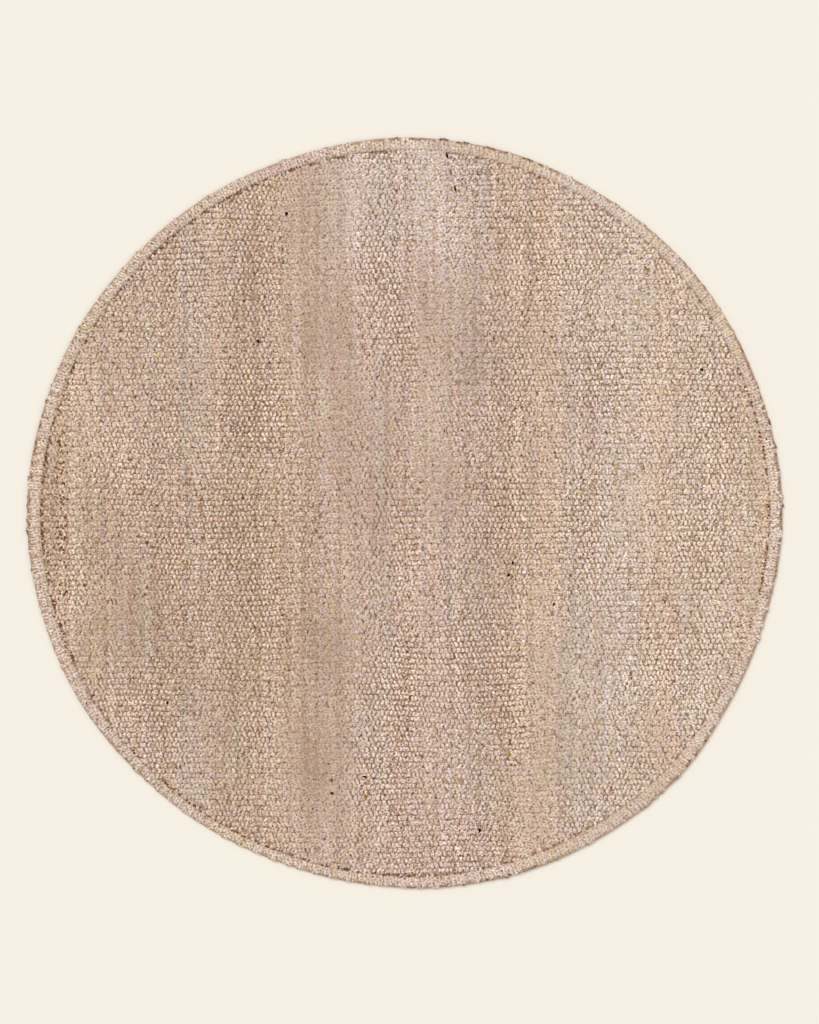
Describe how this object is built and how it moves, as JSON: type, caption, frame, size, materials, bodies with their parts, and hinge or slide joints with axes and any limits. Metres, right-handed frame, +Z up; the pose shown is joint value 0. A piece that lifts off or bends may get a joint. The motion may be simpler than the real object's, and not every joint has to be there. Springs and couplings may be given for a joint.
{
  "type": "round wool rug",
  "caption": "Flat round rug of chunky pebble-weave wool in beige, cream and taupe, its edge wrapped all round in a thick yarn binding.",
  "frame": {"origin": "on the underside, at the middle of the rug, where it lies on the floor", "axes": "+Z up through the thickness; +Y along the yarns that show as streaks; +X across them"},
  "size_m": [1.842, 1.8312, 0.013],
  "materials": {
    "woven_wool": "undyed wool in a chunky pebble weave, matt, streaked with cream, ochre and mauve-taupe yarns",
    "binding_yarn": "matt wool yarn wrapped over the edge, with dark stitch gaps along the inner seam"
  },
  "bodies": {
    "root": {"field": "woven_wool", "binding": "binding_yarn"}
  },
  "joints": []
}
